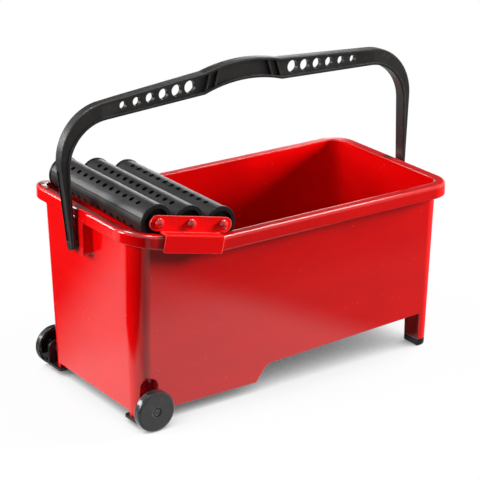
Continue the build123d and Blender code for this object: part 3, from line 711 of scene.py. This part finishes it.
# %% Dress
finish_of_slot = {
    "tub_plastic": tub_plastic,
    "cap_plastic": cap_plastic,
    "plate_paint": plate_paint,
    "handle_plastic": handle_plastic,
    "roller_plastic": roller_plastic,
    "black_plastic": black_plastic,
    "wheel_plastic": wheel_plastic,
    "steel": steel,
    "dark_steel": dark_steel,
}
slot_of_node = {part["node"]: part["material_slot"] for part in frame["record"]["subparts"]}
for name, node in nodes.items():
    node.data.materials.clear()
    node.data.materials.append(finish_of_slot[slot_of_node[name]])
print("dressed", len(nodes), "pieces in", len(set(slot_of_node.values())), "finishes")

# %% [markdown]
# ## Rounder corners
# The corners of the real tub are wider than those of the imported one, from the rim down to the
# feet, and most of all at the wheel end. Their wall, lip and foot are offsets of one another, so
# each level of a corner is an arc round one upright axis, and a wider corner is the same family
# of arcs round an axis further in. A new tub could be built from scratch, but bending a copy of
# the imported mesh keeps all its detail. It takes three steps: find the axes, cut the faces near
# them so that they have points to bend, and move the points.

# %% Corner axes
packed_corner = 0.018
wheel_end_corner = 0.028
leg_end_corner = 0.023
corner_x = 0.2563
corner_y = 0.1228


def corner_axis(side_x):
    """How far out the axis of a wide corner lies along X and Y, and how far it moved inwards."""
    radius = leg_end_corner if side_x > 0.0 else wheel_end_corner
    return corner_x - radius, corner_y - radius, radius - packed_corner


print("axes moved inwards by", [round(corner_axis(side_x)[2], 4) for side_x in (-1, 1)], "m")

# %% [markdown]
# ## Cutting the corners into a fan
# A flat face has points only along its outline, so it can't bend. Upright planes that fan out
# from the new axis cut every face near a corner, and bisect_plane adds points without changing
# the shape. Subdividing would add points too, but not along the rays on which they are to move.

# %% Fan cut
fan_steps = 18
merge_distance = 0.000001


def fan_cut(shape, side_x, side_y):
    """Cut one corner of a mesh by upright planes that fan out from the new axis."""
    axis_x, axis_y, _ = corner_axis(side_x)
    axis = Vector((side_x * axis_x, side_y * axis_y, 0.0))
    near = [
        face
        for face in shape.faces
        if any(side_x * vert.co.x > axis_x and side_y * vert.co.y > axis_y for vert in face.verts)
    ]
    for step in range(fan_steps + 1):
        turn = math.pi / 2 * step / fan_steps
        across = Vector((-side_x * math.sin(turn), side_y * math.cos(turn), 0.0))
        edges = {edge for face in near for edge in face.edges}
        verts = {vert for face in near for vert in face.verts}
        cut = bmesh.ops.bisect_plane(
            shape,
            geom=[*near, *edges, *verts],
            dist=merge_distance,
            plane_co=axis,
            plane_no=across,
        )
        near = [part for part in cut["geom"] if isinstance(part, bmesh.types.BMFace)]


print("planes in each fan:", fan_steps + 1)

# %% [markdown]
# ## Moving the points to the new arcs
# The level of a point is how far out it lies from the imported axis, round the corner or along the
# straight walls beside it. Each point moves along its ray from the new axis until it is on the
# wide arc of its own level. Points well inside stay where they are, and those in between move by
# a share, so the floor of the tub isn't creased.

# %% Widen
still_level = -0.006
moved_level = 0.002


def widen(shape):
    """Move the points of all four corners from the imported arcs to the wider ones."""
    for vert in shape.verts:
        side_x = math.copysign(1.0, vert.co.x)
        side_y = math.copysign(1.0, vert.co.y)
        axis_x, axis_y, axis_shift = corner_axis(side_x)
        out_x = side_x * vert.co.x - axis_x
        out_y = side_y * vert.co.y - axis_y
        if out_x <= 0.0 or out_y <= 0.0:
            continue
        flat_x = out_x - axis_shift
        flat_y = out_y - axis_shift
        level = math.hypot(flat_x, flat_y) if min(flat_x, flat_y) > 0.0 else max(flat_x, flat_y)
        share = min(max((level - still_level) / (moved_level - still_level), 0.0), 1.0)
        turn = math.atan2(out_y, out_x)
        reach = level + axis_shift
        vert.co.x += side_x * share * (reach * math.cos(turn) - out_x)
        vert.co.y += side_y * share * (reach * math.sin(turn) - out_y)


print("points move fully from level", moved_level, "m outwards")

# %% [markdown]
# ## The tub and its foot caps
# The caps fill the feet of the tub's legs, so they get the same corners as the tub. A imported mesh
# is loose triangles, so its copy is merged before it is cut. The bent faces are small beside the
# flat walls, and plain smooth shading would let them tilt the walls' normals. A Weighted Normal
# modifier lets the large faces rule, and edges sharper than a set angle stay sharp.

# %% Wide pieces
sharp_angle = math.radians(30.0)


def with_wide_corners(name):
    """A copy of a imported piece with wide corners, which stands for that piece."""
    shape = bmesh.new()
    shape.from_mesh(nodes[name].data)
    bmesh.ops.remove_doubles(shape, verts=shape.verts, dist=merge_distance)
    for side_x in (-1, 1):
        for side_y in (-1, 1):
            fan_cut(shape, side_x, side_y)
    widen(shape)
    for face in shape.faces:
        face.smooth = True
    for edge in shape.edges:
        edge.smooth = edge.calc_face_angle(0.0) < sharp_angle
    mesh = bpy.data.meshes.new(name + "_wide")
    shape.to_mesh(mesh)
    shape.free()
    packed_normals = mesh.attributes.get("custom_normal")
    if packed_normals:
        mesh.attributes.remove(packed_normals)
    mesh.materials.clear()
    mesh.materials.append(finish_of_slot[slot_of_node[name]])
    piece = bpy.data.objects.new(name + "_wide", mesh)
    bpy.context.scene.collection.objects.link(piece)
    flat_normals = piece.modifiers.new("flat_normals", "WEIGHTED_NORMAL")
    flat_normals.keep_sharp = True
    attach(piece, "tub")
    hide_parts(name)
    return piece


wide_pieces = [with_wide_corners(name) for name in ("tub", "foot_cap_front", "foot_cap_rear")]
print("widened", {piece.name: len(piece.data.polygons) for piece in wide_pieces})
